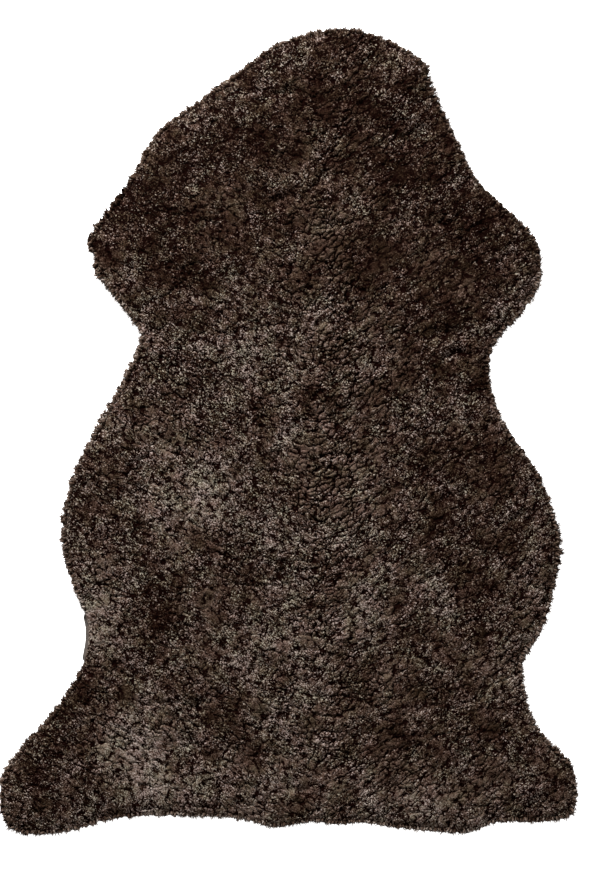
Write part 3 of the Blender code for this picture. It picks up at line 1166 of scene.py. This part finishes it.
def above_floor(curls):
    """Lifts the few curls whose droop would reach below the hide."""
    lowest = curl_places(curls)[:, :, 2].min(axis=1)
    curls["root"][:, 2] += np.maximum(CURL_CLEARANCE - lowest, 0.0)
    return curls


# ------------ the hide


HIDE_THICKNESS = 2.0 * MM
HIDE_OUT = 4.0 * MM          # how far it comes out past the solid's hide
HIDE_OUT_MORE = 3.0 * MM     # and how much further where the locks are short
SHORT_LOCKS = (2.0 * MM, 1.2 * MM)
HIDE_BORDER = 5.0 * MM       # from its edge to its first inner points
DENT = 0.35 * MM
DENT_LENGTH = 30.0 * MM
DENT_AT_EDGE = 0.3           # share of the dents that is left there
DENT_SHARES = (0.5, 0.3)     # how much of them the two sides show


def build_hide():
    """The hide: a thin sheet, a little uneven, that comes out to the rim where the
    wool round it is short."""
    count = len(edge)
    short = evened(smoothstep(*SHORT_LOCKS, evened(reach, passes=12)), passes=150)
    shift = np.maximum(HIDE_OUT + HIDE_OUT_MORE * short, (HIDE_INSET + BARE_REACH) * bare)
    border = edge + outward * shift[:, None]
    inner = lattice(SOLE_PITCH, seed=8)
    inner = inner[inside(border - outward * HIDE_BORDER, inner)]
    points = np.vstack([border, inner])
    total = len(points)
    dents = DENT * (1.0 + soft_noise(*(points / DENT_LENGTH).T, 81))
    dents[:count] *= DENT_AT_EDGE
    low = np.column_stack([points, DENT_SHARES[0] * dents])
    high = np.column_stack([points, HIDE_THICKNESS + DENT_SHARES[1] * dents])
    under = filled(border, inner, False)
    over = filled(border, inner, True) + total
    sides = ring_quads(count, 0, total)
    hide = set_mesh("hide", np.vstack([low, high]), [under, over, sides])
    write(hide.data, "rim", np.tile(np.arange(total) < count, 2))
    return hide, np.ptp(border, axis=0).tolist(), ring_area(border)


# ------------ materials


# The scales of the noises in the wool's colour, in swings a metre.
WOOL_SCALES = {
    "fibres": 720.0,
    "grain": 760.0,
    "ruffle": 330.0,
    "wander": 140.0,
    "cast": 50.0,
}
# The cracks that the wool's colour darkens as painted shade, and that its bump follows.
CRACKS = {
    # name: width, how much it is closed in flat or coarse wool and in bold or fine wool
    "clump": (0.95, 4.0, 1.0),
    "pebble": (0.80, 5.0, 0.5),
    "small": (0.62, 4.0, 2.5),
}
SMOOTH_CLOSING = 2.5         # how much more smooth wool closes them
SMOOTH_CRISP = (0.60, 1.10)  # crispness of wholly smooth wool, and of none
WANDER_MIDDLE = 0.40         # where the wander of the cracks leaves one as it is
# Painted highlights: the grains in this span are painted pale as glints.
GLINT_GRAINS = (1.0, 0.85)  # the grains that stand out pale, from most to least
TONE_GAIN = 0.98
WOOL_LEVEL = 0.345           # where on the ramp plain wool lies

WOOL_COLOURS = (
    # place on the ramp, from the near-black of painted shade at roots and in cracks to the
    # palest tips, colour
    (0.05, (0.0036, 0.0005, 0.0001)),
    (0.32, (0.0228, 0.0118, 0.0068)),
    (0.62, (0.0915, 0.0618, 0.0462)),
    (1.00, (0.2460, 0.2080, 0.1820)),
)

# Casts that the wool's colour is multiplied by, from plum through plain to olive.
WOOL_CASTS = (
    (0.34, (1.04, 0.97, 1.02)),
    (0.50, (1.00, 1.00, 1.00)),
    (0.66, (0.96, 1.035, 0.94)),
)

# The hide's colours, from its darkest to its palest, and what they are multiplied by
# for its nap and from its middle to its edge.
HIDE_COLOURS = (
    (0.30, (0.062, 0.042, 0.031)),
    (0.52, (0.094, 0.066, 0.050)),
    (0.72, (0.135, 0.099, 0.077)),
)
HIDE_NAP = (
    (0.30, (0.80, 0.80, 0.80)),
    (0.70, (1.12, 1.12, 1.12)),
)
HIDE_EDGE = (
    (0.0, (1.00, 1.00, 1.00)),
    (1.0, (0.42, 0.46, 0.48)),
)


def curl_material():
    n = Shader("wool_curls")
    along, tone = n.attribute("along"), n.attribute("tone")
    strands = n.add("ShaderNodeUVMap", uv_map="Strands").outputs["UV"]
    fibres = n.noise(n.vector("MULTIPLY", strands, (9.0, 2.2, 1.0)), 2.2, 3.0, 0.6)
    # Painted shade: each curl's colour darkens towards its root.
    level = n.total(
        n.ranged(along, 0.18, 0.68),
        n.scaled(tone, 0.9),
        n.ranged(fibres, -0.25, 0.25),
    )
    return n.finished({
        "Base Color": n.ramp(level, WOOL_COLOURS),
        "Roughness": n.ranged(fibres, 0.5, 0.75),
        "Specular IOR Level": 0.03,
        "Normal": n.bump(fibres, 0.5, 0.4 * MM),
    })


def crust_material():
    """Wool whose cracks are those of the mesh, closed here and there, with fibres and grain
    between them. Its colour darkens the cracks, the rim's lower rings and the underside as
    painted shade. Bold wool has wide cracks, flat wool fine and broken ones."""
    n = Shader("wool_crust")
    plan = n.attribute("plan", "Vector")
    tone, bold, fine, crisp = (n.attribute(kind) for kind in WOOL_KINDS)
    pattern = wool_pattern(n, plan)
    full = pattern["full"]
    smooth = n.product(n.rise(crisp, *SMOOTH_CRISP), full)
    fibres = n.noise(plan, WOOL_SCALES["fibres"], 1.0, 0.7, flat=True)
    grain = n.grain(plan, WOOL_SCALES["grain"])
    ruffle = n.noise(plan, WOOL_SCALES["ruffle"], 2.0, 0.72, flat=True)
    wander = n.noise(plan, WOOL_SCALES["wander"], 3.0, 0.6, flat=True)
    wander = n.math("SUBTRACT", wander, WANDER_MIDDLE)

    def crack(name, gap, kind, more=0.0):
        """From 0 in a crack to 1 beside it. The more closing, the more of it the wander
        shuts, and the more it opens elsewhere."""
        width, least, most = CRACKS[name]
        closing = n.total(n.ranged(kind, least, most), more)
        return n.rise(n.math("MULTIPLY_ADD", wander, closing, gap), width, 0.5 * width)

    more = n.scaled(smooth, SMOOTH_CLOSING)
    small_gap = n.blend(fine, pattern["crumb_gap"], pattern["nub_gap"])
    clump = crack("clump", pattern["clump_gap"], bold)
    pebble = crack("pebble", pattern["pebble_gap"], bold, more)
    small = crack("small", small_gap, fine, more)
    depth = n.product(n.ranged(fine, 0.68, 0.76), n.ranged(bold, 1.0, 0.1))
    # Painted shade: 0 in a crack, low on the rim's lower rings and underside, 1 on open wool.
    # It darkens the colour and shapes the bump.
    crack_relief_and_shade = n.product(clump, pebble, n.blend(depth, 1.0, small), n.attribute("shade"))
    speckle = n.total(
        n.ranged(fibres, -1.05, 1.05),
        n.ranged(ruffle, -0.075, 0.075),
        n.ranged(grain, -0.31, 0.31),
        # painted highlights: pale glints on the brightest grains
        n.ranged(n.rise(grain, *GLINT_GRAINS), 0.0, 0.34),
    )
    speckle = n.product(
        speckle,
        n.ranged(fine, 0.75, 1.25),
        n.ranged(bold, 1.0, 0.45),
        n.ranged(smooth, 1.0, 0.75),
        n.ranged(full, 1.05, 0.90),
    )
    level = n.total(
        n.scaled(tone, TONE_GAIN, WOOL_LEVEL),
        n.product(n.total(n.ranged(crack_relief_and_shade, -0.98, 0.06), speckle), crisp),
        # painted shade: the fleece's hollows are darker
        n.ranged(full, -0.075, 0.025),
        n.ranged(pattern["clump"], -0.03, 0.03),
        n.ranged(pattern["pebble"], -0.02, 0.02),
    )
    cast = n.ramp(n.noise(plan, WOOL_SCALES["cast"], 3.0, 0.6, flat=True), WOOL_CASTS)
    colour = n.multiplied(n.ramp(level, WOOL_COLOURS), cast)
    height = n.total(n.scaled(fibres, 1.2), n.scaled(ruffle, 0.3), crack_relief_and_shade)
    return n.finished({
        "Base Color": colour,
        "Roughness": 0.8,
        "Specular IOR Level": 0.02,
        "Normal": n.bump(height, 1.0, 1.0 * MM),
    })


def hide_material():
    n = Shader("suede")
    place = n.place()
    broad = n.noise(place, 9.0, 3.0, 0.55)
    fine = n.noise(place, 260.0, 4.0, 0.65)
    wrinkles = n.noise(place, 45.0, 4.0, 0.6)
    colour = n.ramp(n.blend(0.3, broad, wrinkles), HIDE_COLOURS)
    colour = n.multiplied(colour, n.ramp(fine, HIDE_NAP))
    colour = n.multiplied(colour, n.ramp(n.attribute("rim"), HIDE_EDGE))
    return n.finished({
        "Base Color": colour,
        "Roughness": n.ranged(fine, 0.72, 0.92),
        "Sheen Weight": 0.2,
        "Normal": n.bump(n.total(fine, n.scaled(wrinkles, 1.5)), 0.45, 0.8 * MM),
    })


# ------------ the pieces


def wear(obj, material):
    obj.data.materials.append(material)
    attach(obj, "root")
    return obj


crust_wool, curl_wool = crust_material(), curl_material()
bands = [wear(band, crust_wool) for band in build_crust()]
hide, hide_flat, hide_area = build_hide()
wear(hide, hide_material())
curls = above_floor(rim_curls())
order = np.argsort(curls["root"][:, 1], kind="stable")
tufts = [
    wear(build_curls("curls_" + name, curls, chosen), curl_wool)
    for name, chosen in zip(BAND_NAMES, np.array_split(order, len(BAND_NAMES)))
]
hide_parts("sheepskin")


# ------------ the studio


FLOOR_SIZE = 12.0
WHITE = (1.0, 1.0, 1.0, 1.0)
LIGHTS = (
    # name, place, size, watts
    ("key", (-1.0, 2.3, 1.4), 0.30, 230.0),
    ("fill", (1.6, -0.6, 2.2), 2.0, 14.0),
)


def add_camera():
    data = bpy.data.cameras.new("camera")
    data.sensor_width = SENSOR
    data.lens = SENSOR * (CAMERA_HEIGHT - FLEECE_LEVEL) / PICTURE_HEIGHT
    data.clip_end = 100.0
    camera = linked("camera", data)
    camera.location = (*PICTURE_MIDDLE, CAMERA_HEIGHT)
    bpy.context.scene.camera = camera


def add_floor():
    corners = np.array([(-1, -1, 0), (1, -1, 0), (1, 1, 0), (-1, 1, 0)]) * 0.5 * FLOOR_SIZE
    floor = set_mesh("floor", corners, np.array([[0, 1, 2, 3]]), smooth=False)
    n = Shader("paper")
    grain = n.noise(n.place(), 3.0, 2.0)
    pale = n.ramp(grain, ((0.0, (0.86, 0.86, 0.86)), (1.0, (0.90, 0.90, 0.90))))
    paper = {"Base Color": pale, "Roughness": 0.9}
    # The floor glows though it is no lamp: painted light that keeps the rug's cast shadow white
    # and lights the rug's rim.
    glow = {"Emission Color": WHITE, "Emission Strength": 1.0}
    floor.data.materials.append(n.finished(paper | glow))


def add_light(name, place, size, watts):
    data = bpy.data.lights.new(name, "AREA")
    data.size = size
    data.energy = watts
    light = linked(name, data)
    light.location = place
    light.rotation_euler = (-Vector(place)).to_track_quat("-Z", "Y").to_euler()


def add_world():
    world = bpy.data.worlds.new("studio")
    world.use_nodes = True
    backdrop = world.node_tree.nodes["Background"]
    backdrop.inputs["Color"].default_value = (1.0, 0.91, 0.84, 1.0)
    backdrop.inputs["Strength"].default_value = 0.30
    bpy.context.scene.world = world


add_camera()
add_floor()
for light in LIGHTS:
    add_light(*light)
add_world()
bpy.context.scene.view_settings.view_transform = "Standard"
